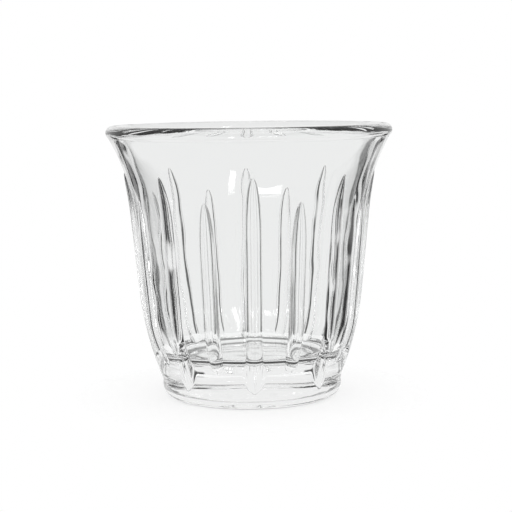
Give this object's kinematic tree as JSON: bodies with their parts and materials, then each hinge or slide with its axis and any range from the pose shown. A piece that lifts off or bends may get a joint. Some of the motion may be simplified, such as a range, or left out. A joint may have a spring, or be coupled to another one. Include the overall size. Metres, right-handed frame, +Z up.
{
  "type": "cortado glass",
  "caption": "Clear pressed-glass tumbler for a cortado: round foot, tapered wall with raised long and short lancet ribs in turn, and a flared lip with a rounded rim.",
  "frame": {"origin": "centre of the foot's underside, on the table plane", "axes": "+Z up along the glass's axis, one long rib faces -Y"},
  "size_m": [0.08, 0.08, 0.0764],
  "materials": {
    "clear_glass": "fire-polished, clear and colourless"
  },
  "bodies": {
    "root": {"foot": "clear_glass", "bowl_belly": "clear_glass", "bowl_wall": "clear_glass", "flared_lip": "clear_glass", "rim_bead": "clear_glass", "long_rib_1": "clear_glass", "long_rib_2": "clear_glass", "long_rib_3": "clear_glass", "long_rib_4": "clear_glass", "long_rib_5": "clear_glass", "long_rib_6": "clear_glass", "long_rib_7": "clear_glass", "long_rib_8": "clear_glass", "short_rib_1": "clear_glass", "short_rib_2": "clear_glass", "short_rib_3": "clear_glass", "short_rib_4": "clear_glass", "short_rib_5": "clear_glass", "short_rib_6": "clear_glass", "short_rib_7": "clear_glass", "short_rib_8": "clear_glass"}
  },
  "joints": []
}
